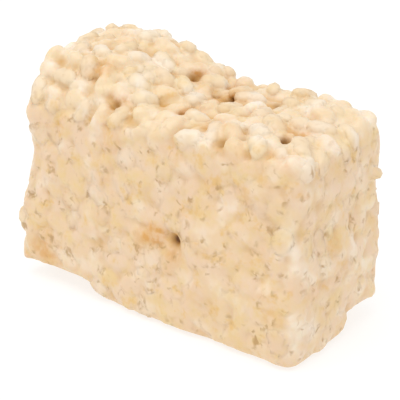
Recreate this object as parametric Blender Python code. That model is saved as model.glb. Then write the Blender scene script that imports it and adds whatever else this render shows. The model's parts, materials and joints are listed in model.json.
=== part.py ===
"""A crisped-rice and marshmallow bar, cut by hand into one chunky block.

Metres, +Z up. The origin is under the middle of the block, the long side runs along X,
and the front is at -Y. The block is one solid: a rounded, uneven core with the rice
grains that stand proud of it fused on.
"""

import math
import random

import bmesh
import bpy
from mathutils import Matrix, Vector, noise

MM = 0.001

# Driving dimensions of the block
LENGTH = 78.0 * MM
WIDTH = 35.5 * MM
FRONT_HEIGHT = 46.5 * MM
BACK_RISE = 3.9 * MM
EDGE_RADIUS = 4.0 * MM
BASE_EDGE_HEIGHT = 1.6 * MM

# How far the ends and the long sides spread at the foot, and below what height they do
LEFT_FLARE = 2.9 * MM
RIGHT_FLARE = 1.0 * MM
SIDE_FLARE = 1.2 * MM
FLARE_HEIGHT = 34.0 * MM
FLARE_RUN = 20.0 * MM

# The heap of grains that makes the left end taller than the right one
MOUND_RISE = 8.2 * MM
MOUND_START_X = 3.0 * MM
MOUND_RUN_X = 27.0 * MM
MOUND_RUN_Y = 10.0 * MM

# The top sags towards the right end
SAG_DEPTH = 1.8 * MM
SAG_START_X = 27.0 * MM
SAG_RUN_X = 13.0 * MM

# Unevenness of the cut faces
SWELL_DEPTH = 0.9 * MM
SWELL_SIZE = 13.0 * MM

# Two corners where a clump came off the base: the corner, how far the gap reaches from it
# along X and Y, and its height
BASE_GAPS = (
    ((-1, -1), (24.5 * MM, 13.0 * MM), 3.8 * MM),
    ((1, 1), (14.0 * MM, 17.5 * MM), 4.4 * MM),
)
GAP_SLOPE = 4.5 * MM
GAP_FADE = 14.0 * MM

# How finely the core is divided
EDGE_CUTS = (1.5 * MM, 4.2 * MM)
CUTS_ALONG = 10
CUTS_ACROSS = 4
CUTS_UP = 6

# A crisped rice grain and how it lies
GRAIN_LENGTH = 6.3 * MM
GRAIN_THICKNESS = 4.0 * MM
GRAIN_SIDES = 5
GRAIN_RINGS = ((-0.66, 0.76), (0.0, 1.0), (0.66, 0.76))
GRAIN_SIZE_SPREAD = 0.14
TOP_SPACING = 4.3 * MM
TOP_TRIES = 6000
TOP_FACING = 0.3
SIDE_SPACING = 12.5 * MM
SIDE_TRIES = 1500
TOP_SINK = 0.12
SIDE_SINK = 0.45
TOP_TILT = math.radians(24)
SIDE_TILT = math.radians(10)
BASE_CLEARANCE = 3.4 * MM

# Two grains that stand out from the ends: the end, their height and place across it, and
# the way that they point
STRAY_GRAINS = (
    (-1, 14.0 * MM, -17.2 * MM, math.radians(205)),
    (1, 37.0 * MM, 12.0 * MM, math.radians(20)),
)

# The planes at which the knife and the tray stop what sticks out
TRIM_X = (-43.0 * MM, 41.2 * MM)
TRIM_Y = (-19.3 * MM, 19.3 * MM)
TRIM_Z = (0.0, 90.0 * MM)
TRIM_OVERRUN = 0.3 * MM

SMOOTH_UP_TO = math.radians(32)
SEED = 5


def smooth_step(t):
    """0 below 0, 1 above 1, and an S-shaped rise between."""
    t = min(max(t, 0.0), 1.0)
    return t * t * (3.0 - 2.0 * t)


def top_height(x, y):
    """Height of the top above the tray: it rises to the back and to the heap at the left."""
    back = (y + WIDTH / 2) / WIDTH
    along = smooth_step((MOUND_START_X - x) / MOUND_RUN_X)
    across = smooth_step((y + WIDTH / 2) / MOUND_RUN_Y)
    sag = smooth_step((x - SAG_START_X) / SAG_RUN_X)
    return (
        FRONT_HEIGHT
        + BACK_RISE * back
        + MOUND_RISE * along * across
        - SAG_DEPTH * sag
    )


def rounded(point):
    """Moves a point of the plain box onto a box with rounded edges, flatter at the base."""
    half = Vector((LENGTH / 2, WIDTH / 2))
    x, y = (
        min(max(point[i], EDGE_RADIUS - half[i]), half[i] - EDGE_RADIUS)
        for i in (0, 1)
    )
    low, high = BASE_EDGE_HEIGHT, FRONT_HEIGHT - EDGE_RADIUS
    z = min(max(point.z, low), high)
    inner = Vector((x, y, z))
    reach = Vector((EDGE_RADIUS, EDGE_RADIUS, low if point.z < low else EDGE_RADIUS))
    out = point - inner
    stretch = Vector(out[i] / reach[i] for i in range(3)).length
    return inner + out / max(stretch, 1.0)


def base_height(x, y):
    """How far the underside is off the tray: nothing, but for the two gaps."""
    height = 0.0
    for (side_x, side_y), (reach_x, reach_y), depth in BASE_GAPS:
        inside_x = (reach_x - LENGTH / 2 + side_x * x) / GAP_SLOPE
        inside_y = (reach_y - WIDTH / 2 + side_y * y) / GAP_SLOPE
        height += depth * smooth_step(inside_x) * smooth_step(inside_y)
    return height


def shaped(point):
    """The place on the uneven block of a point on the plain box."""
    p = rounded(point)
    flare = smooth_step((FLARE_HEIGHT - p.z) / FLARE_RUN)
    end_flare = LEFT_FLARE if p.x < 0 else RIGHT_FLARE
    p.x *= 1.0 + flare * end_flare / (LENGTH / 2)
    p.y *= 1.0 + flare * SIDE_FLARE / (WIDTH / 2)
    swell = noise.noise_vector(Vector((p.x, p.y, p.z)) / SWELL_SIZE)
    lift = smooth_step(p.z / (4.0 * BASE_EDGE_HEIGHT))
    p.z *= top_height(p.x, p.y) / FRONT_HEIGHT
    p += Vector((swell.x, swell.y, swell.z * lift)) * SWELL_DEPTH
    p.z += base_height(p.x, p.y) * (1.0 - smooth_step(p.z / GAP_FADE))
    return p


def grid_lines(low, high, count):
    """Where one axis is divided: closely near its two ends, then evenly between."""
    near = [low] + [low + cut for cut in EDGE_CUTS]
    far = [high - cut for cut in reversed(EDGE_CUTS)] + [high]
    step = (far[0] - near[-1]) / (count + 1)
    return near + [near[-1] + step * i for i in range(1, count + 1)] + far


def make_core():
    """The block without its grains: a box divided by a grid, each corner of it moved."""
    bm = bmesh.new()
    lines = (
        grid_lines(-LENGTH / 2, LENGTH / 2, CUTS_ALONG),
        grid_lines(-WIDTH / 2, WIDTH / 2, CUTS_ACROSS),
        grid_lines(0.0, FRONT_HEIGHT, CUTS_UP),
    )
    corners = {}

    def corner(index):
        if index not in corners:
            point = Vector(lines[axis][i] for axis, i in enumerate(index))
            corners[index] = bm.verts.new(shaped(point))
        return corners[index]

    for axis in range(3):
        across, up = (axis + 1) % 3, (axis + 2) % 3
        for end in (0, len(lines[axis]) - 1):
            for i in range(len(lines[across]) - 1):
                for j in range(len(lines[up]) - 1):
                    square = []
                    for a, b in ((i, j), (i + 1, j), (i + 1, j + 1), (i, j + 1)):
                        index = {axis: end, across: a, up: b}
                        square.append(corner((index[0], index[1], index[2])))
                    bm.faces.new(square[:3])
                    bm.faces.new((square[0], square[2], square[3]))
    return finished_object("treat", bm)


def finished_object(name, bm):
    """Turns a bmesh into an object in the scene."""
    bmesh.ops.recalc_face_normals(bm, faces=bm.faces)
    mesh = bpy.data.meshes.new(name)
    bm.to_mesh(mesh)
    bm.free()
    obj = bpy.data.objects.new(name, mesh)
    bpy.context.scene.collection.objects.link(obj)
    return obj


def grain_mesh():
    """One crisped grain: a blunt spindle with few sides, one long and one thick."""
    bm = bmesh.new()
    rings = []
    for place, girth in GRAIN_RINGS:
        ring = []
        for i in range(GRAIN_SIDES):
            turn = 2 * math.pi * i / GRAIN_SIDES
            side = Vector((place, girth * math.cos(turn), girth * math.sin(turn)))
            ring.append(bm.verts.new(side / 2))
        rings.append(ring)
    for first, second in zip(rings, rings[1:]):
        for i in range(GRAIN_SIDES):
            j = (i + 1) % GRAIN_SIDES
            bm.faces.new((first[i], first[j], second[j], second[i]))
    for ring, end in ((rings[0], -0.5), (rings[-1], 0.5)):
        tip = bm.verts.new((end, 0, 0))
        for i in range(GRAIN_SIDES):
            bm.faces.new((ring[i], ring[(i + 1) % GRAIN_SIDES], tip))
    bmesh.ops.recalc_face_normals(bm, faces=bm.faces)
    bmesh.ops.triangulate(bm, faces=bm.faces)
    mesh = bpy.data.meshes.new("grain")
    bm.to_mesh(mesh)
    bm.free()
    return mesh


def spread_over(core, draw):
    """Places for the grains: random points of the surface, kept where no other is too near.

    Yields each spot with the surface's normal and whether it is on top.
    """
    kept = []
    passes = ((True, TOP_SPACING, TOP_TRIES), (False, SIDE_SPACING, SIDE_TRIES))
    for on_top, spacing, tries in passes:
        faces = [f for f in core.data.polygons if (f.normal.z > TOP_FACING) == on_top]
        for face in draw.choices(faces, weights=[f.area for f in faces], k=tries):
            spot = random_point(core.data, face, draw)
            if spot.z < BASE_CLEARANCE:
                continue
            if any((spot - other).length < spacing for other in kept):
                continue
            kept.append(spot)
            yield spot, face.normal.copy(), on_top


def random_point(mesh, triangle, draw):
    """A point of a triangle, each as likely as another."""
    a, b, c = (mesh.vertices[i].co for i in triangle.vertices)
    u, v = draw.random(), draw.random()
    if u + v > 1.0:
        u, v = 1.0 - u, 1.0 - v
    return a + (b - a) * u + (c - a) * v


def grain_matrix(spot, normal, on_top, draw):
    """Where one grain lies: along the surface, turned and tilted at random, partly sunk in."""
    size = 1.0 + draw.uniform(-GRAIN_SIZE_SPREAD, GRAIN_SIZE_SPREAD)
    tilt = TOP_TILT if on_top else SIDE_TILT
    sink = TOP_SINK if on_top else SIDE_SINK
    turn = Matrix.Rotation(draw.uniform(0, math.pi), 4, "Z")
    lean = Matrix.Rotation(draw.uniform(-tilt, tilt), 4, "Y")
    roll = Matrix.Rotation(draw.uniform(0, math.pi), 4, "X")
    scale = Matrix.Diagonal(
        (GRAIN_LENGTH * size, GRAIN_THICKNESS * size, GRAIN_THICKNESS * size, 1.0)
    )
    upright = normal.to_track_quat("Z", "Y").to_matrix().to_4x4()
    place = Matrix.Translation(spot - normal * sink * GRAIN_THICKNESS / 2)
    return place @ upright @ turn @ lean @ roll @ scale


def stray_matrix(end, height, across, heading):
    """Where a grain lies that points out of an end, its tip just past the knife's plane."""
    tip = TRIM_X[0 if end < 0 else 1] + end * TRIM_OVERRUN
    place = Matrix.Translation((tip, across, height)) @ Matrix.Rotation(heading, 4, "Z")
    behind_tip = Matrix.Translation((-GRAIN_LENGTH / 2, 0, 0))
    scale = Matrix.Diagonal((GRAIN_LENGTH, GRAIN_THICKNESS, GRAIN_THICKNESS, 1.0))
    return place @ behind_tip @ scale


def add_grains(core):
    """Lays the grains on the core, each as its own object in one collection."""
    draw = random.Random(SEED)
    mesh = grain_mesh()
    grains = bpy.data.collections.new("grains")
    bpy.context.scene.collection.children.link(grains)
    matrices = [stray_matrix(*stray) for stray in STRAY_GRAINS]
    for spot, normal, on_top in spread_over(core, draw):
        matrices.append(grain_matrix(spot, normal, on_top, draw))
    for matrix in matrices:
        grain = bpy.data.objects.new("grain", mesh.copy())
        grain.data.transform(matrix)
        grains.objects.link(grain)
    return grains


def box_matrix(*spans):
    """Turns a unit cube into the box that spans these distances along X, Y and Z."""
    middle = Vector((low + high) / 2 for low, high in spans)
    sides = [high - low for low, high in spans]
    return Matrix.Translation(middle) @ Matrix.Diagonal((*sides, 1.0))


def trim_box():
    """What the knife and the tray leave: flat underneath, and no wider than the cut."""
    bm = bmesh.new()
    bmesh.ops.create_cube(bm, size=1.0, matrix=box_matrix(TRIM_X, TRIM_Y, TRIM_Z))
    return finished_object("trim", bm)


def apply_modifiers(obj):
    """Replaces the object's mesh by what its modifiers make of it."""
    bpy.context.view_layer.update()
    graph = bpy.context.evaluated_depsgraph_get()
    mesh = bpy.data.meshes.new_from_object(obj.evaluated_get(graph))
    obj.modifiers.clear()
    obj.data = mesh


def keep_largest_body(obj):
    """Drops loose scraps and the walls of hollows that the fusing sealed."""
    bm = bmesh.new()
    bm.from_mesh(obj.data)
    unseen = set(bm.verts)
    bodies = []
    while unseen:
        body, edge = set(), [next(iter(unseen))]
        while edge:
            v = edge.pop()
            if v in body:
                continue
            body.add(v)
            edge.extend(e.other_vert(v) for e in v.link_edges)
        unseen -= body
        bodies.append(body)
    bodies.sort(key=len)
    scraps = [v for body in bodies[:-1] for v in body]
    bmesh.ops.delete(bm, geom=scraps, context="VERTS")
    bmesh.ops.triangulate(bm, faces=bm.faces)
    bm.to_mesh(obj.data)
    bm.free()


def fuse(core, grains):
    """Joins the grains to the core and trims the result."""
    union = core.modifiers.new("Fuse", "BOOLEAN")
    union.operation = "UNION"
    union.operand_type = "COLLECTION"
    union.collection = grains
    union.solver = "MANIFOLD"
    apply_modifiers(core)
    for grain in list(grains.objects):
        bpy.data.objects.remove(grain)
    bpy.data.collections.remove(grains)
    cutter = trim_box()
    trim = core.modifiers.new("Trim", "BOOLEAN")
    trim.operation = "INTERSECT"
    trim.object = cutter
    trim.solver = "MANIFOLD"
    apply_modifiers(core)
    bpy.data.objects.remove(cutter)
    keep_largest_body(core)


def rice_and_marshmallow():
    """Pale cream, a little glossy where the marshmallow shows."""
    material = bpy.data.materials.new("rice_and_marshmallow")
    material.use_nodes = True
    shader = material.node_tree.nodes["Principled BSDF"]
    shader.inputs["Base Color"].default_value = (0.84, 0.65, 0.42, 1.0)
    shader.inputs["Roughness"].default_value = 0.5
    shader.inputs["Metallic"].default_value = 0.0
    return material


def main():
    for obj in list(bpy.data.objects):
        bpy.data.objects.remove(obj)
    noise.seed_set(SEED)
    core = make_core()
    fuse(core, add_grains(core))
    core.data.transform(Matrix.Translation((-sum(TRIM_X) / 2, -sum(TRIM_Y) / 2, 0)))
    core.data.shade_smooth()
    core.data.set_sharp_from_angle(angle=SMOOTH_UP_TO)
    core.data.materials.clear()
    core.data.materials.append(rice_and_marshmallow())


main()
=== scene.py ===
import json
import math

import bpy
import numpy as np
from mathutils import Matrix, Vector, noise
from mathutils.bvhtree import BVHTree
from mathutils.interpolate import poly_3d_calc
from mathutils.kdtree import KDTree

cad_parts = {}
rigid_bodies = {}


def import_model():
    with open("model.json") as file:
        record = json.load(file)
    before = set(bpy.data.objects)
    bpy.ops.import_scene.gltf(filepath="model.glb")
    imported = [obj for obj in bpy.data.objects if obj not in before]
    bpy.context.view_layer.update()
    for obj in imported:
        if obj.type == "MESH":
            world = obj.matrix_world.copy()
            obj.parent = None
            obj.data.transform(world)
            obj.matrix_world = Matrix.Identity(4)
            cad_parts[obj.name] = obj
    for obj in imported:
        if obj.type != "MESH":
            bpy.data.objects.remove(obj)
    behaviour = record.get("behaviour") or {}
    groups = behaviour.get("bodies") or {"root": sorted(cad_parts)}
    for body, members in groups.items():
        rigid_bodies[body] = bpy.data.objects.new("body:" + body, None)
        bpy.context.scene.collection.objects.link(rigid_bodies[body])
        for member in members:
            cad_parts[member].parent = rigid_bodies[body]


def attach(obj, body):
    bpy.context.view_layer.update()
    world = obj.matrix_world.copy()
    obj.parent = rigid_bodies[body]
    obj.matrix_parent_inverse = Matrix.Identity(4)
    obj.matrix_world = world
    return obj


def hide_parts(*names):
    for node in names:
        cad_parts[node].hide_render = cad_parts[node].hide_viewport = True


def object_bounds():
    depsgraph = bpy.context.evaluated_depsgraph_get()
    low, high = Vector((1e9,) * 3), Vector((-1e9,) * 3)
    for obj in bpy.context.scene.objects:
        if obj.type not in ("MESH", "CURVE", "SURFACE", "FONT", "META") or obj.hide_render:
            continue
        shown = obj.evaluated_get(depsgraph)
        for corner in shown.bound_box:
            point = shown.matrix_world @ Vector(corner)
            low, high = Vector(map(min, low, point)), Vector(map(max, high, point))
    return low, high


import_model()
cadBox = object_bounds()
mm = 0.001

# The bar as it was cut, before the grains that stand proud of it
bar = {
    "length": 78.0 * mm,
    "width": 35.5 * mm,
    "frontHeight": 46.5 * mm,
    "backRise": 3.9 * mm,
    "edgeRadius": 4.0 * mm,
    "baseEdge": 1.6 * mm,
    "firmHeight": 6.4 * mm,  # the underside is flat, and from here up the faces swell fully
    "leftFlare": 2.9 * mm,
    "rightFlare": 1.0 * mm,
    "sideFlare": 1.2 * mm,
    "flareHeight": 34.0 * mm,
    "flareRun": 20.0 * mm,
    "moundRise": 8.2 * mm,
    "moundStartX": 3.0 * mm,
    "moundRunX": 27.0 * mm,
    "moundRunY": 10.0 * mm,
    "sagDepth": 1.8 * mm,
    "sagStartX": 27.0 * mm,
    "sagRunX": 13.0 * mm,
    "swellDepth": 0.9 * mm,
    "swellSize": 13.0 * mm,
    "baseGaps": (  # corner, how far the gap reaches along X and Y, and its height
        ((-1, -1), (24.5 * mm, 13.0 * mm), 3.8 * mm),
        ((1, 1), (14.0 * mm, 17.5 * mm), 4.4 * mm),
    ),
    "gapSlope": 4.5 * mm,
    "gapFade": 14.0 * mm,
    "shiftX": 0.9 * mm,  # the knife left the middle of the bar here
    "noiseSeed": 5,
}


def smoothStep(t):  # 0 up to 0, 1 from 1 on, and a soft rise between
    t = min(max(t, 0.0), 1.0)
    return t * t * (3.0 - 2.0 * t)


def topHeight(x, y):  # rises to the back, with the heap at the left and the sag at the right
    back = (y + bar["width"] / 2) / bar["width"]
    along = smoothStep((bar["moundStartX"] - x) / bar["moundRunX"])
    across = smoothStep((y + bar["width"] / 2) / bar["moundRunY"])
    sag = smoothStep((x - bar["sagStartX"]) / bar["sagRunX"])
    height = bar["frontHeight"] + bar["backRise"] * back
    return height + bar["moundRise"] * along * across - bar["sagDepth"] * sag


def roundedPoint(x, y, z):  # brings the plain box's corners and edges in to their radius
    edge, foot = bar["edgeRadius"], bar["baseEdge"]
    inner = Vector((
        min(max(x, edge - bar["length"] / 2), bar["length"] / 2 - edge),
        min(max(y, edge - bar["width"] / 2), bar["width"] / 2 - edge),
        min(max(z, foot), bar["frontHeight"] - edge),
    ))
    out = Vector((x, y, z)) - inner
    reach = (edge, edge, foot if z < foot else edge)
    stretch = Vector(out[i] / reach[i] for i in range(3)).length
    return inner + out / max(stretch, 1.0)


def footHeight(x, y):  # the underside is off the tray at two corners, where a clump came away
    height = 0.0
    for (sideX, sideY), (reachX, reachY), depth in bar["baseGaps"]:
        insideX = (reachX - bar["length"] / 2 + sideX * x) / bar["gapSlope"]
        insideY = (reachY - bar["width"] / 2 + sideY * y) / bar["gapSlope"]
        height += depth * smoothStep(insideX) * smoothStep(insideY)
    return height


def barPoint(x, y, z):  # the place on the uneven bar of a point on the plain box
    p = roundedPoint(x, y, z)
    flare = smoothStep((bar["flareHeight"] - p.z) / bar["flareRun"])
    endFlare = bar["leftFlare"] if p.x < 0 else bar["rightFlare"]
    p.x *= 1.0 + flare * endFlare / (bar["length"] / 2)
    p.y *= 1.0 + flare * bar["sideFlare"] / (bar["width"] / 2)
    swell = noise.noise_vector(p / bar["swellSize"])
    lift = smoothStep(p.z / bar["firmHeight"])
    p.z *= topHeight(p.x, p.y) / bar["frontHeight"]
    p += Vector((swell.x, swell.y, swell.z * lift)) * bar["swellDepth"]
    p.z += footHeight(p.x, p.y) * (1.0 - smoothStep(p.z / bar["gapFade"]))
    p.x += bar["shiftX"]
    return p


def newObject(name, points, faces):
    mesh = bpy.data.meshes.new(name)
    mesh.from_pydata([tuple(p) for p in points], [], faces)
    mesh.update()
    obj = bpy.data.objects.new(name, mesh)
    bpy.context.scene.collection.objects.link(obj)
    return obj


def cutBar(name, step):  # the bar's surface as squares of about this size
    sizes = (bar["length"], bar["width"], bar["frontHeight"])
    starts = (-bar["length"] / 2, -bar["width"] / 2, 0.0)
    counts = [round(size / step) for size in sizes]
    corners, points, faces = {}, [], []
    for axis in range(3):
        across, up = (axis + 1) % 3, (axis + 2) % 3
        for end in (0, counts[axis]):
            for i in range(counts[across]):
                for j in range(counts[up]):
                    square = []
                    for a, b in ((i, j), (i + 1, j), (i + 1, j + 1), (i, j + 1)):
                        where = {axis: end, across: a, up: b}
                        key = (where[0], where[1], where[2])
                        if key not in corners:
                            corners[key] = len(points)
                            box = [starts[k] + sizes[k] * key[k] / counts[k] for k in range(3)]
                            points.append(barPoint(*box))
                        square.append(corners[key])
                    faces.append(square if end else square[::-1])
    return newObject(name, points, faces)


def meshArrays(mesh):
    points = np.empty(len(mesh.vertices) * 3)
    mesh.vertices.foreach_get("co", points)
    normals = np.empty(len(mesh.vertices) * 3)
    mesh.vertex_normals.foreach_get("vector", normals)
    return points.reshape(-1, 3), normals.reshape(-1, 3)


def storeValues(mesh, name, kind, values):
    field = "vector" if kind == "FLOAT_VECTOR" else "value"
    array = np.array(values, np.int32 if kind == "INT" else np.float32)
    mesh.attributes.new(name, kind, "POINT").data.foreach_set(field, array.ravel())


facing = {  # where a normal's upward or sideways share begins to count, and over what it grows
    "topFrom": 0.25,
    "topRun": 0.5,
    "edgeFrom": 0.15,
    "edgeRun": 0.4,
    "atEnd": 0.6,
    "under": -0.5,
}


def smoothSteps(values):  # as smoothStep, for an array
    t = np.clip(values, 0.0, 1.0)
    return t * t * (3.0 - 2.0 * t)


def topness(normals):  # 1 on top, 0 on the cut sides and underneath
    return smoothSteps((normals[:, 2] - facing["topFrom"]) / facing["topRun"])


def edgeness(normals):  # 1 on the upright edges between two cut sides
    sideways = np.abs(normals[:, :2]).min(axis=1)
    return smoothSteps((sideways - facing["edgeFrom"]) / facing["edgeRun"])


def finishMesh(obj):  # turns what the modifiers make into the object's own plain mesh
    bpy.context.view_layer.update()
    graph = bpy.context.evaluated_depsgraph_get()
    mesh = bpy.data.meshes.new_from_object(obj.evaluated_get(graph))
    obj.modifiers.clear()
    obj.data = mesh


# One function for every node of the shape and material trees. An input is set by name or number
def addNode(tree, kind, settings=None, inputs=None):
    node = tree.nodes.new(kind)
    for name, value in (settings or {}).items():
        setattr(node, name, value)
    for key, value in (inputs or {}).items():
        if isinstance(value, bpy.types.NodeSocket):
            tree.links.new(value, node.inputs[key])
        else:
            node.inputs[key].default_value = value
    return node


# Stage 1: the skin that the knife and the tray left, against which grains are pressed
noise.seed_set(bar["noiseSeed"])
skin = {
    "step": 1.3 * mm,
    "proudTop": 1.65 * mm,  # the heaped grains stand this far above the bar
    "proudSide": 0.35 * mm,
    "waver": 1.0 * mm,  # the sides bulge and sink by this much between the knife's strokes
    "waverSize": 8.0 * mm,
    "flatterFrom": 22.0 * mm,  # towards this end the knife's flat pressed the top smoother
    "flatterRun": 14.0 * mm,
    "flatterBy": 0.45,
    "fray": 2.6,  # the toasted places are ragged by this many mm
    "fraySize": 3.0 * mm,
    "holeShadeReach": 0.6 * mm,  # the painted shade of a hole reaches this far beyond it
    "darkest": 4.2 * mm,  # a hole of this depth is painted in full shade all over
    "filmOnTop": 0.32,  # share of the marshmallow film on top, along upright edges (where it is also a painted highlight) and at the end
    "filmAndHighlightOnEdges": 0.18,
    "filmAtEnd": 0.12,
}
openGaps = [  # holes where no grain lies: x, y, z, reach and depth in mm
    (8.6, -18.7, 22.0, 0.8, 2.6), (-14.0, -18.7, 16.8, 0.3, 1.2), (-3.3, -18.9, 14.3, 0.3, 1.2),
    (10.3, -18.7, 37.3, 0.1, 0.6), (40.8, -8.0, 16.2, 0.3, 1.2), (40.8, 4.0, 29.2, 0.1, 0.6),
    (7.8, 4.5, 48.9, 1.0, 4.0), (3.0, 5.1, 48.8, 0.5, 2.8), (11.7, -4.3, 49.1, 0.2, 1.5),
    (6.1, 1.8, 48.2, 0.2, 1.8), (-5.3, 7.6, 51.3, 0.6, 2.6), (3.6, -8.8, 48.4, 0.5, 3.0),
    (-10.6, -14.0, 48.5, 0.5, 2.6), (30.3, -8.0, 48.0, 0.8, 4.2), (32.8, -4.6, 48.1, 0.3, 2.0),
    (18.2, 7.5, 50.5, 0.4, 2.4), (21.2, -9.3, 48.3, 0.2, 1.8), (23.6, -13.5, 48.0, 0.2, 1.8),
    (20.6, -16.3, 47.1, 0.3, 2.2), (-19.3, -10.7, 52.8, 0.4, 2.0), (9.5, -13.5, 47.8, 0.1, 1.4),
]
amberSpots = [  # toasted and syrupy places, and on top painted shade at crevices and gaps: x, y, z, reach in mm, and how strongly
    (-0.4, -18.6, 20.5, 2.6, 1.2), (3.6, -18.4, 22.2, 2.4, 2.1), (6.1, -18.5, 21.7, 1.6, 1.0),
    (9.3, -19.0, 18.8, 2.2, 1.1), (-32.5, -19.0, 9.6, 4.0, 1.0),
    (-12.4, -17.9, 32.5, 1.8, 0.9), (39.4, -14.5, 38.5, 1.5, 0.9), (30.4, -17.7, 26.3, 1.4, 0.8),
    (32.9, -18.8, 15.9, 1.3, 0.8), (41.0, 10.9, 8.5, 1.8, 0.6), (34.5, -16.4, 46.0, 3.6, 0.9),
    (-25.5, -17.9, 34.5, 1.5, 0.6), (-38.5, -17.5, 20.0, 1.6, 0.6), (19.7, -18.9, 9.5, 1.4, 0.7),
    (7.0, 5.0, 49.0, 4.2, 1.2), (-6.0, 9.5, 52.0, 3.4, 1.2), (-19.5, -10.0, 53.0, 2.6, 0.8),
    (-11.7, -14.0, 49.0, 2.8, 0.9), (14.5, -12.0, 48.0, 3.2, 1.0), (31.5, -4.5, 48.0, 3.4, 1.1),
    (3.5, -8.0, 47.8, 2.6, 1.3), (18.0, 9.2, 50.5, 2.0, 1.0),
]
cutSkin = cutBar("cutSkin", skin["step"])
barPoints, barNormals = meshArrays(cutSkin.data)


def onBar(place):  # brings a place to the bar's own surface
    place = np.array(place) * mm
    return barPoints[np.linalg.norm(barPoints - place, axis=1).argmin()]


gaps = [(onBar(gap[:3]), gap[3] * mm, gap[4] * mm) for gap in openGaps]
onTop = topness(barNormals)
flatter = np.clip((barPoints[:, 0] - skin["flatterFrom"]) / skin["flatterRun"], 0.0, 1.0)
proudTop = skin["proudTop"] * (1.0 - skin["flatterBy"] * flatter)


def sideProud(points):
    waver = np.array([noise.noise(Vector(p / skin["waverSize"])) for p in points])
    return skin["proudSide"] + skin["waver"] * waver


proudSide = sideProud(barPoints)
proud = proudSide + (proudTop - proudSide) * onTop
proud[barNormals[:, 2] < facing["under"]] = 0.0
skinPoints = barPoints + barNormals * proud[:, None]
skinPoints = np.clip(skinPoints, np.array(cadBox[0]), np.array(cadBox[1]))
cutSkin.data.vertices.foreach_set("co", skinPoints.ravel())
atEnd = barNormals[:, 0] > facing["atEnd"]
# Along the upright edges the film is also a painted highlight
filmAndHighlightBeside = skin["filmAndHighlightOnEdges"] * edgeness(barNormals) + skin["filmAtEnd"] * atEnd
film = skin["filmOnTop"] * onTop + filmAndHighlightBeside * (1.0 - onTop)
fray = np.array([noise.noise_vector(Vector(p / skin["fraySize"])) for p in barPoints])
frayed = barPoints / mm + fray * skin["fray"]
amber = np.zeros(len(barPoints))
for x, y, z, reach, strength in amberSpots:
    away = np.linalg.norm(frayed - (x, y, z), axis=1) / reach
    amber = np.maximum(amber, strength * np.exp(-away * away))
# Painted shade in and around each open gap, darker for deeper gaps
hole = np.zeros(len(barPoints))
for place, reach, depth in gaps:
    away = np.linalg.norm(barPoints - place, axis=1) / (reach + skin["holeShadeReach"])
    hole = np.maximum(hole, depth / skin["darkest"] * np.exp(-away * away))
onSkin = {"heaped": onTop, "film": film, "amber": amber, "hole": hole}
for name, values in onSkin.items():
    storeValues(cutSkin.data, name, "FLOAT", values)
cutSkin.data.update()
skinTree = BVHTree.FromObject(cutSkin, bpy.context.evaluated_depsgraph_get())
print("stage 1: skin of the bar,", len(barPoints), "points")


# Stage 2: where the grains lie
strayGrains = [  # single grains that stick out of the ends: x, y, z, and heading and rise in degrees
    (-39.3, -17.0, 14.5, 205.0, 76.0),
    (38.5, 12.5, 36.0, 20.0, 0.0),
]
grain = {
    "length": 6.9 * mm,
    "thickness": 4.7 * mm,
    "lengthSpread": 0.16,
    "thicknessSpread": 0.13,
    "flatness": (0.82, 1.0),
    "endRadius": 0.42,  # three balls fill a grain, at its ends and middle, in shares of its thickness
    "middleRadius": 0.5,
    "kinds": 7,
    "standOut": 0.16,  # share of the pressed grains that show whole, not only under the marshmallow
    "shownWhole": 0.6,  # the same of the heaped ones
    "looseStandOut": 6.0 * mm,
    "toastMean": 0.075,
    "toastMost": 0.5,
    "lowest": 2.6 * mm,  # no grain shows under this, so that the lower edge stays ragged
    "seed": 31,
}
layers = {  # tries, depth in mm under the bar's own surface, tilt, and how close two may come
    "heaped": {"tries": 2500, "depth": (-0.2, 0.5), "tilt": 26.0, "share": 0.9, "top": True},
    "wedged": {"tries": 4500, "depth": (0.8, 1.9), "tilt": 40.0, "share": 0.66, "top": True},
    "pressed": {"tries": 5000, "depth": (0.3, 1.2), "tilt": 14.0, "share": 0.84, "top": False},
    "filling": {"tries": 9000, "depth": (0.8, 1.7), "tilt": 14.0, "share": 0.64, "top": False},
}
draw = np.random.default_rng(grain["seed"])
mostBalls = 6000  # three to a grain
occupied = {"centres": np.zeros((mostBalls, 3)), "radii": np.zeros(mostBalls), "count": 0}


def occupy(centres, radii):
    start = occupied["count"]
    occupied["count"] = start + len(centres)
    occupied["centres"][start:start + len(centres)] = centres
    occupied["radii"][start:start + len(centres)] = radii


def isFree(centres, radii, share):
    count = occupied["count"]
    away = np.linalg.norm(centres[:, None, :] - occupied["centres"][None, :count, :], axis=2)
    return not (away < share * (radii[:, None] + occupied["radii"][None, :count])).any()


def isClearOfGaps(centres, radii):
    away = np.linalg.norm(centres[:, None, :] - np.array([gap[0] for gap in gaps]), axis=2)
    return (away > radii[:, None] + np.array([gap[1] for gap in gaps])).all()


def newGrain(centre, rotation):
    length = grain["length"] * (1 + grain["lengthSpread"] * draw.uniform(-1, 1))
    thick = grain["thickness"] * (1 + grain["thicknessSpread"] * draw.uniform(-1, 1))
    along = np.array(rotation @ Vector((1, 0, 0))) * (length - thick) * 0.5
    radii = (grain["endRadius"], grain["middleRadius"], grain["endRadius"])
    return {
        "centre": centre,
        "turn": tuple(rotation),
        "size": (length, thick, thick * draw.uniform(*grain["flatness"])),
        "balls": np.array((centre - along, centre, centre + along)),
        "radii": np.array(radii) * thick,
        "kind": int(draw.integers(0, grain["kinds"])),
        "loose": 0.0,
    }


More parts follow.
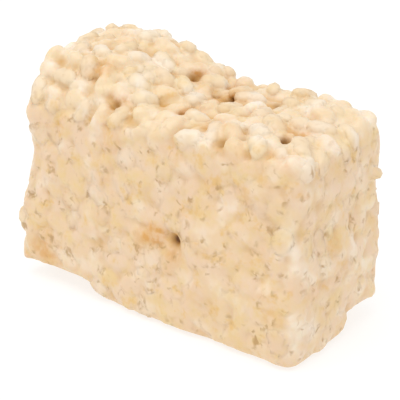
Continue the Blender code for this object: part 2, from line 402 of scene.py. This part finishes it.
def randomSpots(count, wantTop):
    mesh = cutSkin.data
    mesh.calc_loop_triangles()
    corners = np.array([t.vertices for t in mesh.loop_triangles])
    triangles = barPoints[corners]
    sides = np.cross(triangles[:, 1] - triangles[:, 0], triangles[:, 2] - triangles[:, 0])
    facesUp = onTop[corners].mean(axis=1) > 0.5
    area = np.linalg.norm(sides, axis=1) * (facesUp == wantTop)
    chosen = draw.choice(len(area), size=count, p=area / area.sum())
    weights = draw.dirichlet((1.0, 1.0, 1.0), size=count)
    spots = (triangles[chosen] * weights[:, :, None]).sum(axis=1)
    normals = (barNormals[corners[chosen]] * weights[:, :, None]).sum(axis=1)
    return spots, normals / np.linalg.norm(normals, axis=1)[:, None]


def layLayer(layer):
    laid = []
    spots, normals = randomSpots(layer["tries"], layer["top"])
    for spot, normal in zip(spots, normals):
        turn = Matrix.Rotation(draw.uniform(0, math.tau), 3, "Z")
        lean = Matrix.Rotation(math.radians(draw.uniform(-1, 1) * layer["tilt"]), 3, "Y")
        roll = Matrix.Rotation(draw.uniform(0, math.tau), 3, "X")
        upright = Vector(normal).to_track_quat("Z", "Y").to_matrix()
        depth = draw.uniform(*layer["depth"]) * mm
        new = newGrain(spot - normal * depth, (upright @ turn @ lean @ roll).to_quaternion())
        x, y, z = new["centre"]
        low = not layer["top"] and z < grain["lowest"] + footHeight(x, y)
        clear = not low and isClearOfGaps(new["balls"], new["radii"])
        if clear and isFree(new["balls"], new["radii"], layer["share"]):
            occupy(new["balls"], new["radii"])
            laid.append(new)
    return laid


strays = []
for x, y, z, heading, rise in strayGrains:
    turn = Matrix.Rotation(math.radians(heading), 3, "Z")
    lean = Matrix.Rotation(math.radians(-rise), 3, "Y")
    new = newGrain(np.array((x, y, z)) * mm, (turn @ lean).to_quaternion())
    strays.append(new | {"loose": 1.0})
    occupy(new["balls"], new["radii"])
heap = strays + layLayer(layers["heaped"]) + layLayer(layers["wedged"])
sides = layLayer(layers["pressed"]) + layLayer(layers["filling"])
for new in heap + sides:
    new["toast"] = min(draw.exponential(grain["toastMean"]), grain["toastMost"])
    new["tone"] = draw.uniform(-1, 1)
standingOut = [g for g in sides if draw.random() < grain["standOut"]]
whole = [g for g in heap if g["loose"] or draw.random() < grain["shownWhole"]]
print("stage 2:", len(heap), "heaped grains and", len(sides), "pressed ones")


# Stage 3: a few crisped grains to copy, one unit long and thick, each bent and blistered its way
shape = {
    "bluntness": 2.5,  # 2 is an ellipse, more is blunter
    "groove": 0.15,
    "grooveWidth": 0.42,  # radians
    "bend": 0.13,
    "leastBend": 0.2,
    "bendLevel": 0.35,  # keeps the bent grain about its own middle
    "blister": 0.13,
    "blisterAlong": 0.5,
    "blisterSize": 0.32,
    "blisterPlaces": 50,
    "rings": 6,
    "corners": 8,
    "firstSeed": 100,
}


def puffedGrain(index):
    own = np.random.default_rng(shape["firstSeed"] + index)
    bend = shape["bend"] * own.uniform(shape["leastBend"], 1.0)
    grooveAt = own.uniform(0, math.tau)
    offset = Vector(own.uniform(-shape["blisterPlaces"], shape["blisterPlaces"], 3))
    rings, corners = shape["rings"], shape["corners"]
    points = [Vector((-0.5, 0, 0))]
    for i in range(rings):
        t = -math.cos(math.pi * (i + 1) / (rings + 1))
        girth = 0.5 * (1.0 - abs(t) ** shape["bluntness"]) ** (1.0 / shape["bluntness"])
        for j in range(corners):
            angle = math.tau * (j + 0.5 * (i % 2)) / corners
            away = math.remainder(angle - grooveAt, math.tau)
            depth = shape["groove"] * math.exp(-(away / shape["grooveWidth"]) ** 2) * (1 - t * t)
            radius = girth * (1.0 - depth)
            points.append(Vector((t * 0.5, radius * math.cos(angle), radius * math.sin(angle))))
    points.append(Vector((0.5, 0, 0)))
    for p in points:
        bump = noise.noise(p / shape["blisterSize"] + offset)
        grow = 1.0 + shape["blister"] * bump
        p.y *= grow
        p.z = p.z * grow + bend * (p.x * p.x * 4.0 - shape["bendLevel"])
        p.x *= 1.0 + shape["blisterAlong"] * shape["blister"] * bump
    last = len(points) - 1
    faces = []
    for j in range(corners):
        k = (j + 1) % corners
        faces.append((0, 1 + k, 1 + j))
        faces.append((last, last - corners + j, last - corners + k))
        for i in range(rings - 1):
            a, b = 1 + i * corners, 1 + (i + 1) * corners
            faces.append((a + j, a + k, b + k, b + j))
    obj = newObject(f"puffedGrain{index}", points, faces)
    obj.data.shade_smooth()
    return obj


grainKinds = bpy.data.collections.new("grainKinds")
for index in range(grain["kinds"]):
    kind = puffedGrain(index)
    bpy.context.scene.collection.objects.unlink(kind)
    grainKinds.objects.link(kind)
print("stage 3: grain shapes made")


# Stage 4: the node tree that lays grains on points and presses them against the skin
laying = {  # size against the real grain, how far the top ones stand proud, how much springs back
    "heapedRice": (1.0, 0.2 * mm, 0.3),
    "pressedRice": (1.0, 0.0, 0.0),
    "dippedHeap": (0.985, 0.1 * mm, 0.3),
    "dippedSides": (0.985, 0.0, 0.0),
}
laidWith = {  # what each point carries of its grain
    "turn": "QUATERNION", "size": "FLOAT_VECTOR", "kind": "INT",
    "toast": "FLOAT", "tone": "FLOAT", "loose": "FLOAT",
}


def layingTree():
    tree = bpy.data.node_groups.new("layGrains", "GeometryNodeTree")
    tree.interface.new_socket("Geometry", in_out="OUTPUT", socket_type="NodeSocketGeometry")
    for name, kind in (
        ("Geometry", "NodeSocketGeometry"),
        ("Grain kinds", "NodeSocketCollection"),
        ("Skin", "NodeSocketObject"),
        ("Scale", "NodeSocketFloat"),
        ("Stands proud by", "NodeSocketFloat"),
        ("Springs back", "NodeSocketFloat"),
        ("Loose ones stand out", "NodeSocketFloat"),
        ("Finish", "NodeSocketMaterial"),
    ):
        tree.interface.new_socket(name, in_out="INPUT", socket_type=kind)
    given = addNode(tree, "NodeGroupInput").outputs
    read = {}
    for name in ("turn", "size", "kind", "loose", *onSkin):
        settings = {"data_type": laidWith.get(name, "FLOAT")}
        node = addNode(tree, "GeometryNodeInputNamedAttribute", settings, {"Name": name})
        read[name] = node.outputs["Attribute"]
    kinds = addNode(tree, "GeometryNodeCollectionInfo", {}, {
        "Collection": given["Grain kinds"], "Separate Children": True, "Reset Children": True,
    })
    size = addNode(tree, "ShaderNodeVectorMath", {"operation": "SCALE"}, {
        0: read["size"], "Scale": given["Scale"],
    })
    copies = addNode(tree, "GeometryNodeInstanceOnPoints", {}, {
        "Points": given["Geometry"], "Instance": kinds.outputs["Instances"], "Pick Instance": True,
        "Instance Index": read["kind"], "Rotation": read["turn"], "Scale": size.outputs[0],
    })
    real = addNode(tree, "GeometryNodeRealizeInstances", {}, {"Geometry": copies.outputs[0]})

    # How far each point stands out of the skin
    knife = addNode(tree, "GeometryNodeObjectInfo", {"transform_space": "ORIGINAL"}, {
        "Object": given["Skin"],
    }).outputs["Geometry"]
    near = addNode(tree, "GeometryNodeProximity", {"target_element": "FACES"}, {"Geometry": knife})
    normal = addNode(tree, "GeometryNodeInputNormal")
    outward = addNode(tree, "GeometryNodeSampleNearestSurface", {"data_type": "FLOAT_VECTOR"}, {
        "Mesh": knife, "Value": normal.outputs[0],
    }).outputs[0]
    under = {}
    single = {"data_type": "FLOAT"}
    for name in onSkin:
        under[name] = addNode(tree, "GeometryNodeSampleNearestSurface", single, {
            "Mesh": knife, "Value": read[name],
        }).outputs[0]
    place = addNode(tree, "GeometryNodeInputPosition")
    offset = addNode(tree, "ShaderNodeVectorMath", {"operation": "SUBTRACT"}, {
        0: place.outputs[0], 1: near.outputs["Position"],
    })
    height = addNode(tree, "ShaderNodeVectorMath", {"operation": "DOT_PRODUCT"}, {
        0: offset.outputs[0], 1: outward,
    }).outputs["Value"]

    # What stands out further is pressed back, but for a little on top
    loose = addNode(tree, "ShaderNodeMath", {"operation": "MULTIPLY"}, {
        0: read["loose"], 1: given["Loose ones stand out"],
    })
    proud = addNode(tree, "ShaderNodeMath", {"operation": "MULTIPLY_ADD"}, {
        0: given["Stands proud by"], 1: under["heaped"], 2: loose.outputs[0],
    })
    spring = addNode(tree, "ShaderNodeMath", {"operation": "MULTIPLY"}, {
        0: given["Springs back"], 1: under["heaped"],
    })
    excess = addNode(tree, "ShaderNodeMath", {"operation": "SUBTRACT"}, {
        0: height, 1: proud.outputs[0],
    })
    left = addNode(tree, "ShaderNodeMath", {"operation": "MULTIPLY_ADD"}, {
        0: excess.outputs[0], 1: spring.outputs[0], 2: proud.outputs[0],
    })
    pressed = addNode(tree, "ShaderNodeMath", {"operation": "MINIMUM"}, {
        0: height, 1: left.outputs[0],
    })
    moved = addNode(tree, "ShaderNodeMath", {"operation": "SUBTRACT"}, {
        0: pressed.outputs[0], 1: height,
    })
    push = addNode(tree, "ShaderNodeVectorMath", {"operation": "SCALE"}, {
        0: outward, "Scale": moved.outputs[0],
    })
    flat = addNode(tree, "GeometryNodeSetPosition", {}, {
        "Geometry": real.outputs[0], "Offset": push.outputs[0],
    })
    kept = flat.outputs[0]
    sunk = addNode(tree, "ShaderNodeMath", {"operation": "MULTIPLY"}, {0: height, 1: -1.0 / mm})
    onPoints = {"data_type": "FLOAT", "domain": "POINT"}
    for name, value in (("deep", sunk.outputs[0]), *under.items()):
        kept = addNode(tree, "GeometryNodeStoreNamedAttribute", onPoints, {
            "Geometry": kept, "Name": name, "Value": value,
        }).outputs[0]
    painted = addNode(tree, "GeometryNodeSetMaterial", {}, {
        "Geometry": kept, "Material": given["Finish"],
    })
    addNode(tree, "NodeGroupOutput", {}, {"Geometry": painted.outputs[0]})
    return tree


def layGrains(name, laid, tree, finish):  # turns points into grains of one finish
    scale, proudBy, springBack = laying[name]
    obj = newObject(name, [g["centre"] for g in laid], [])
    for field, kind in laidWith.items():
        storeValues(obj.data, field, kind, [g[field] for g in laid])
    # A whole grain has no border on it, so the next one is put far away
    storeValues(obj.data, "border", "FLOAT", [grain["length"] / mm] * len(laid))
    modifier = obj.modifiers.new("Lay grains", "NODES")
    modifier.node_group = tree
    values = {
        "Grain kinds": grainKinds, "Skin": cutSkin, "Scale": scale,
        "Stands proud by": proudBy, "Springs back": springBack, "Finish": finish,
        "Loose ones stand out": grain["looseStandOut"],
    }
    for item in tree.interface.items_tree:
        if item.name in values:
            modifier[item.identifier] = values[item.name]
    finishMesh(obj)
    return obj


tree = layingTree()
print("stage 4: tree for laying grains made")


# Colours are sRGB hex, turned to linear here
def paint(code):
    parts = [int(code[i:i + 2], 16) / 255 for i in (0, 2, 4)]
    return tuple(c / 12.92 if c <= 0.04045 else ((c + 0.055) / 1.055) ** 2.4 for c in parts) + (1.0,)


# Stage 5: materials. Each piece carries the toast and tone of its grains, heaped (1 on top, 0 on
# the cut sides), film (how much marshmallow, and a painted highlight along upright edges), amber
# (how toasted and syrupy, and on top painted shade at crevices), hole (painted shade near an open
# gap), deep (mm under the skin) and border (mm to the next grain)
food = {  # crisped rice under a film of melted marshmallow: pale, satin, a little translucent
    "peach": "E9CDAE",
    "yellow": "E8CB98",
    "cream": "EFDAB4",  # on top, where the knife hasn't crushed the grains
    "amber": "E5BF7C",
    "film": "F6E8D4",  # where the marshmallow lies thicker, and a painted highlight along upright edges
    # Toasted grains and syrup, and on top also painted shade in crevices and gaps
    "toastedAndShaded": "DAA45E",
    # Painted shade of the narrow grooves at grain borders and of tiny crevices
    "border": "B28A52",
    # Painted shade: the crevice and pit colours darken the surface with depth under the skin,
    # standing in for the shade in them
    "creviceShade": "D3A663",
    "pitShade": "80501F",
    "creviceShadeSide": (0.35, 1.5),  # depth in mm where the painted crevice shade starts, and where it is full
    "creviceShadeTop": (1.1, 2.5),
    "pitShadeSide": (1.4, 2.6),
    "pitShadeTop": (2.9, 4.8),
    # Painted shade in the holes, by depth under the skin
    "holeShadeDepth": (0.5, 2.0),
    "borderWidth": 1.0,
    "borderShown": 0.62,
    "toneShare": 0.35,
    "syrupOnSides": 0.6,
    "riceRoughness": 0.45,
    "riceFilm": 0.35,  # most of the film that lies in patches
    "marshmallowRoughness": 0.4,
    "marshmallowFilm": 0.45,
    "scatter": 0.2,
    "scatterSize": 1.3 * mm,
    "scatterReach": (1.0, 0.62, 0.36),
    "ior": 1.45,  # as a sugar glaze
    "blisterStrength": 0.3,
    "blisterHeight": 0.12 * mm,
}
patterns = {  # size, detail, roughness and distortion of the noise
    "mottle": (3.6 * mm, 3.0, 0.6, 0.0),
    "patches": (6.0 * mm, 2.0, 0.5, 0.0),  # of thicker marshmallow
    "stains": (4.2 * mm, 3.0, 0.65, 0.0),
    "specks": (1.5 * mm, 2.0, 0.5, 0.0),
    "flecks": (2.0 * mm, 2.0, 0.5, 0.6),  # painted shade of tiny crevices between the pressed grains
    "pieces": (3.0 * mm, 1.0, 0.5, 0.0),  # borders and flecks show in pieces of about this length
    "blisters": (0.7 * mm, 2.0, 0.5, 0.0),  # real ones are about 0.2 mm, drawn so that they show
}


def foodMaterial(name, filmMost, scatter, roughness):
    material = bpy.data.materials.new(name)
    material.use_nodes = True
    tree = material.node_tree
    shader = tree.nodes["Principled BSDF"]
    place = addNode(tree, "ShaderNodeTexCoord").outputs["Object"]
    own = {}
    for field in ("toast", "tone", "heaped", "film", "amber", "hole", "deep", "border"):
        own[field] = addNode(tree, "ShaderNodeAttribute", {"attribute_name": field}).outputs["Fac"]
    for field, (size, detail, rough, bent) in patterns.items():
        own[field] = addNode(tree, "ShaderNodeTexNoise", {}, {
            "Vector": place, "Scale": 1.0 / size, "Detail": detail, "Roughness": rough,
            "Distortion": bent,
        }).outputs["Color" if field == "stains" else "Fac"]
    own["stains"] = addNode(tree, "ShaderNodeSeparateColor", {}, {
        "Color": own["stains"],
    }).outputs["Green"]

    # Shares that rise smoothly from least to most while what they read goes from low to high
    share = {}
    for field, read, low, high, least, most in (
        ("mottled", "mottle", 0.4, 0.7, 0.1, 0.9),
        ("filmBy", "patches", 0.36, 0.64, 0.2, 1.6),
        ("filmed", "patches", 0.5, 0.68, 0.0, filmMost),
        ("cream", "heaped", 0.0, 1.0, 0.0, 0.6),
        ("amber", "stains", 0.54, 0.74, 0.0, 0.85),
        # Painted shade: on top the amber deepens with depth under the skin
        ("syrupAndShadeOnTop", "deep", 0.0, 1.6, 0.4, 1.0),
        ("speckled", "specks", 0.3, 0.65, 0.55, 1.1),
        ("line", "border", 0.0, food["borderWidth"], 0.4, 0.0),
        ("fleck", "flecks", 0.5, 0.7, 0.0, 1.2),
        ("piece", "pieces", 0.45, 0.68, 0.0, food["borderShown"]),
        ("pressed", "heaped", 0.0, 1.0, 1.0, 0.3),
        # Painted shade in crevices and pits, by depth under the skin
        ("creviceShadeSide", "deep", *food["creviceShadeSide"], 0.0, 1.0),
        ("creviceShadeTop", "deep", *food["creviceShadeTop"], 0.0, 1.0),
        ("pitShadeSide", "deep", *food["pitShadeSide"], 0.0, 1.0),
        ("pitShadeTop", "deep", *food["pitShadeTop"], 0.0, 1.0),
        ("holeShaded", "deep", *food["holeShadeDepth"], 0.0, 1.0),
    ):
        share[field] = addNode(tree, "ShaderNodeMapRange", {"interpolation_type": "SMOOTHSTEP"}, {
            "Value": own[read], "From Min": low, "From Max": high, "To Min": least, "To Max": most,
        }).outputs[0]

    # The same share on the sides and on top, by how heaped the place is
    for field, side, top in (
        ("syrupAndShade", food["syrupOnSides"], share["syrupAndShadeOnTop"]),
        ("creviceShade", share["creviceShadeSide"], share["creviceShadeTop"]),
        ("pitShaded", share["pitShadeSide"], share["pitShadeTop"]),
    ):
        share[field] = addNode(tree, "ShaderNodeMix", {"data_type": "FLOAT"}, {
            "Factor": own["heaped"], 2: side, 3: top,
        }).outputs[0]

    # Sums, first times by plus second. Only the browned and shaded one may pass 1, as specks thin it
    # again
    for field, first, by, second in (
        ("yellow", own["tone"], food["toneShare"], share["mottled"]),
        ("film", own["film"], share["filmBy"], share["filmed"]),
        ("brownedAndShaded", own["amber"], share["syrupAndShade"], own["toast"]),
        ("pitShade", own["hole"], share["holeShaded"], share["pitShaded"]),
    ):
        settings = {"operation": "MULTIPLY_ADD", "use_clamp": field != "brownedAndShaded"}
        share[field] = addNode(tree, "ShaderNodeMath", settings, {
            0: first, 1: by, 2: second,
        }).outputs[0]
    settings = {"operation": "MULTIPLY", "use_clamp": True}
    share["toastedAndShaded"] = addNode(tree, "ShaderNodeMath", settings, {
        0: share["brownedAndShaded"], 1: share["speckled"],
    }).outputs[0]

    # Painted shade in the narrow grooves at grain borders and in tiny crevices, both in short pieces,
    # and fewer on top
    lined = addNode(tree, "ShaderNodeMath", {"operation": "MAXIMUM"}, {
        0: share["line"], 1: share["fleck"],
    }).outputs[0]
    broken = addNode(tree, "ShaderNodeMath", {"operation": "MULTIPLY"}, {
        0: lined, 1: share["piece"],
    }).outputs[0]
    share["border"] = addNode(tree, "ShaderNodeMath", {"operation": "MULTIPLY"}, {
        0: broken, 1: share["pressed"],
    }).outputs[0]

    # Of the coats, toasted (on top), border, crevice and pit are partly or wholly painted shade
    colour = paint(food["peach"])
    for coat in ("yellow", "cream", "amber", "film", "toastedAndShaded", "border", "creviceShade", "pitShade"):
        colour = addNode(tree, "ShaderNodeMix", {"data_type": "RGBA"}, {
            "Factor": share[coat], 6: colour, 7: paint(food[coat]),
        }).outputs[2]
    bump = addNode(tree, "ShaderNodeBump", {}, {
        "Strength": food["blisterStrength"], "Distance": food["blisterHeight"],
        "Height": own["blisters"],
    })
    tree.links.new(colour, shader.inputs["Base Color"])
    tree.links.new(bump.outputs[0], shader.inputs["Normal"])
    shader.inputs["Roughness"].default_value = roughness
    shader.inputs["Subsurface Weight"].default_value = scatter
    shader.inputs["Subsurface Radius"].default_value = food["scatterReach"]
    shader.inputs["Subsurface Scale"].default_value = food["scatterSize"]
    shader.inputs["IOR"].default_value = food["ior"]
    return material


# Puffed rice, thinly coated: pale and almost matt. It doesn't scatter light, because closed meshes
# that overlap would then be outlined in grey
crispedRice = foodMaterial("crispedRice", food["riceFilm"], 0.0, food["riceRoughness"])
# Marshmallow that was melted and has set: a satin skin, soft and a little translucent
setMarshmallow = foodMaterial(
    "setMarshmallow", food["marshmallowFilm"], food["scatter"], food["marshmallowRoughness"],
)

heapedRice = layGrains("heapedRice", whole, tree, crispedRice)
pressedRice = layGrains("pressedRice", standingOut, tree, crispedRice)
faceCounts = [len(obj.data.polygons) for obj in (heapedRice, pressedRice)]
print("stage 5: grains laid,", faceCounts[0], "and", faceCounts[1], "faces")


# Stage 6: the marshmallow that holds them: bar and grains melted into one skin with soft fillets
binder = {
    "step": 0.9 * mm,
    "sinkTop": (-0.6 * mm, 1.1 * mm),  # how far it lies under the bar's own surface, least and most
    "sinkSide": (0.1 * mm, 1.0 * mm),  # the same under the skin
    "footWaver": 2.5 * mm,  # how uneven the lower edge is
    "footWaverSize": 2.8 * mm,
    "footHeight": 3.0 * mm,
    "footRim": 2.0 * mm,
    "waverSize": 2.4 * mm,
    "waverGain": 0.9,
    "gapRim": 0.3 * mm,  # how much wider than its gap a hole is in the marshmallow
    "offTray": 0.1 * mm,
    "voxel": 0.55 * mm,
    "smoothing": 3,
    "softness": 0.5,
    "ballsNear": 10,  # looked at for each point, to tell which two grains are nearest
    "blend": 1.4,  # mm over which the colours of two grains run into each other
    "cover": 0.8 * mm,  # how far from a grain the marshmallow still shows its colour
    "bareToast": 0.08,
}


def marshmallowCore():
    core = cutBar("marshmallow", binder["step"])
    points, normals = meshArrays(core.data)
    waver = np.array([noise.noise(Vector(p / binder["waverSize"])) for p in points])
    waver = np.clip(0.5 + binder["waverGain"] * waver, 0.0, 1.0)
    (leastTop, mostTop), (leastSide, mostSide) = binder["sinkTop"], binder["sinkSide"]
    top = topness(normals)
    sink = (leastSide + (mostSide - leastSide) * waver - sideProud(points)) * (1.0 - top)
    sink += (leastTop + (mostTop - leastTop) * waver) * top
    for place, reach, depth in gaps:
        away = np.linalg.norm(points - place, axis=1) / (reach + binder["gapRim"])
        sink += depth * np.exp(-away * away)
    sink[normals[:, 2] < facing["under"]] = binder["offTray"]
    points -= normals * sink[:, None]
    ragged = np.array([noise.noise(Vector(p / binder["footWaverSize"])) for p in points])
    ragged = np.maximum(ragged, 0.0)
    near = np.clip(1.0 - points[:, 2] / binder["footHeight"], 0.0, 1.0)
    footLength = bar["length"] + bar["leftFlare"] + bar["rightFlare"]
    footWidth = bar["width"] + 2 * bar["sideFlare"]
    half = np.array((footLength, footWidth)) / 2
    inward = (half - np.abs(points[:, :2] - (bar["shiftX"], 0.0))).min(axis=1)
    near *= np.clip(1.0 - inward / binder["footRim"], 0.0, 1.0)
    points[:, 2] += binder["footWaver"] * ragged * near
    core.data.vertices.foreach_set("co", points.ravel())
    core.data.update()
    return core


marshmallow = marshmallowCore()
dippedHeap = layGrains("dippedHeap", heap, tree, setMarshmallow)
dippedSides = layGrains("dippedSides", sides, tree, setMarshmallow)
bpy.ops.object.select_all(action="DESELECT")
for obj in (marshmallow, dippedHeap, dippedSides):
    obj.select_set(True)
bpy.context.view_layer.objects.active = marshmallow
bpy.ops.object.join()
melted = marshmallow.modifiers.new("Melt", "REMESH")
melted.mode = "VOXEL"
melted.voxel_size = binder["voxel"]
melted.use_smooth_shade = True
soft = marshmallow.modifiers.new("Soften", "SMOOTH")
soft.factor = binder["softness"]
soft.iterations = binder["smoothing"]
finishMesh(marshmallow)


# The marshmallow takes its colours from the grain that it covers, and its depth under the skin, from
# which its crevices get painted shade
def colourMarshmallow(obj):
    points = meshArrays(obj.data)[0]
    points[:, 2] = np.maximum(points[:, 2], 0.0)
    obj.data.vertices.foreach_set("co", points.ravel())
    grains = heap + sides
    balls = KDTree(len(grains) * 3)
    for i, g in enumerate(grains):
        for j in range(3):
            balls.insert(Vector(g["balls"][j]), 3 * i + j)
    balls.balance()
    corners = [tuple(p.vertices) for p in cutSkin.data.polygons]
    places = [v.co.copy() for v in cutSkin.data.vertices]
    values = {name: [] for name in (*onSkin, "deep", "toast", "tone", "border")}
    for p in points:
        p = Vector(p)
        near, outward, face = skinTree.find_nearest(p)[:3]
        values["deep"].append((near - p).dot(outward) / mm)
        weights = poly_3d_calc([places[c] for c in corners[face]], near)
        for name, array in onSkin.items():
            values[name].append(sum(w * array[c] for w, c in zip(weights, corners[face])))
        nearest = {}
        for centre, index, distance in balls.find_n(p, binder["ballsNear"]):
            i, j = divmod(index, 3)
            away = distance - grains[i]["radii"][j]
            nearest[i] = min(away, nearest.get(i, away))
        first, second = sorted(nearest, key=nearest.get)[:2]
        border = (nearest[second] - nearest[first]) / mm
        share = 0.5 * (1.0 - smoothStep(border / binder["blend"]))
        weight = 1.0 - smoothStep(nearest[first] / binder["cover"])
        for name, bare in (("toast", binder["bareToast"]), ("tone", 0.0)):
            mixed = grains[first][name] * (1.0 - share) + grains[second][name] * share
            values[name].append(bare + (mixed - bare) * weight)
        values["border"].append(border)
    for name, array in values.items():
        storeValues(obj.data, name, "FLOAT", array)


colourMarshmallow(marshmallow)
marshmallow.data.materials.clear()
marshmallow.data.materials.append(setMarshmallow)
print("stage 6: marshmallow,", len(marshmallow.data.polygons), "faces")

bpy.data.objects.remove(cutSkin)
for kind in list(grainKinds.objects):
    bpy.data.objects.remove(kind)
bpy.data.collections.remove(grainKinds)

for piece in (marshmallow, heapedRice, pressedRice):
    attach(piece, "root")
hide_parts("treat")
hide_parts("treat")
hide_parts("treat")


# Stage 7: stage, light and camera
studio = {
    "floorSize": 6.0,
    "floor": "9A9997",
    "floorGlow": 0.7,
    "floorRoughness": 0.9,
    "sky": 0.86,
    "keyPower": 3.2,
    "keySize": 0.7,
    "keyFrom": (-0.03, -0.27, 0.95),
}
camera = {
    "azimuth": 37.8,
    "elevation": 21.6,
    "distance": 239.0 * mm,
    "aside": 0.9 * mm,
    "height": 24.2 * mm,
    "lens": 90.9,
    "sensor": 36.0,
    "nearest": 5.0 * mm,
}
white = (1.0, 1.0, 1.0, 1.0)

half = studio["floorSize"] / 2
edge = [(-half, -half, 0), (half, -half, 0), (half, half, 0), (-half, half, 0)]
floor = newObject("floor", edge, [(0, 1, 2, 3)])
paper = bpy.data.materials.new("whitePaper")  # matt white sweep, lit until it shows as plain white
paper.use_nodes = True
paperShader = paper.node_tree.nodes["Principled BSDF"]
paperShader.inputs["Base Color"].default_value = paint(studio["floor"])
paperShader.inputs["Roughness"].default_value = studio["floorRoughness"]
paperShader.inputs["Emission Color"].default_value = white
paperShader.inputs["Emission Strength"].default_value = studio["floorGlow"]
floor.data.materials.append(paper)

world = bpy.data.worlds.new("softRoom")
world.use_nodes = True
sky = world.node_tree.nodes["Background"]
sky.inputs["Color"].default_value = white
sky.inputs["Strength"].default_value = studio["sky"]
bpy.context.scene.world = world

key = bpy.data.objects.new("key", bpy.data.lights.new("key", "AREA"))
key.data.shape = "DISK"
key.data.size = studio["keySize"]
key.data.energy = studio["keyPower"]
key.location = studio["keyFrom"]
key.rotation_euler = (-Vector(studio["keyFrom"])).to_track_quat("-Z", "Y").to_euler()
bpy.context.scene.collection.objects.link(key)

lens = bpy.data.cameras.new("camera")
lens.lens = camera["lens"]
lens.sensor_width = camera["sensor"]
lens.clip_start = camera["nearest"]
eye = bpy.data.objects.new("camera", lens)
azimuth, elevation = math.radians(camera["azimuth"]), math.radians(camera["elevation"])
right = Vector((math.cos(azimuth), math.sin(azimuth), 0.0))
back = Vector((
    math.sin(azimuth) * math.cos(elevation),
    -math.cos(azimuth) * math.cos(elevation),
    math.sin(elevation),
))
target = right * camera["aside"] + Vector((bar["shiftX"], 0.0, camera["height"]))
eye.location = target + back * camera["distance"]
eye.rotation_euler = (-back).to_track_quat("-Z", "Y").to_euler()
bpy.context.scene.collection.objects.link(eye)
bpy.context.scene.camera = eye
bpy.context.scene.view_settings.view_transform = "Standard"

print("stage 7: floor, light and camera")
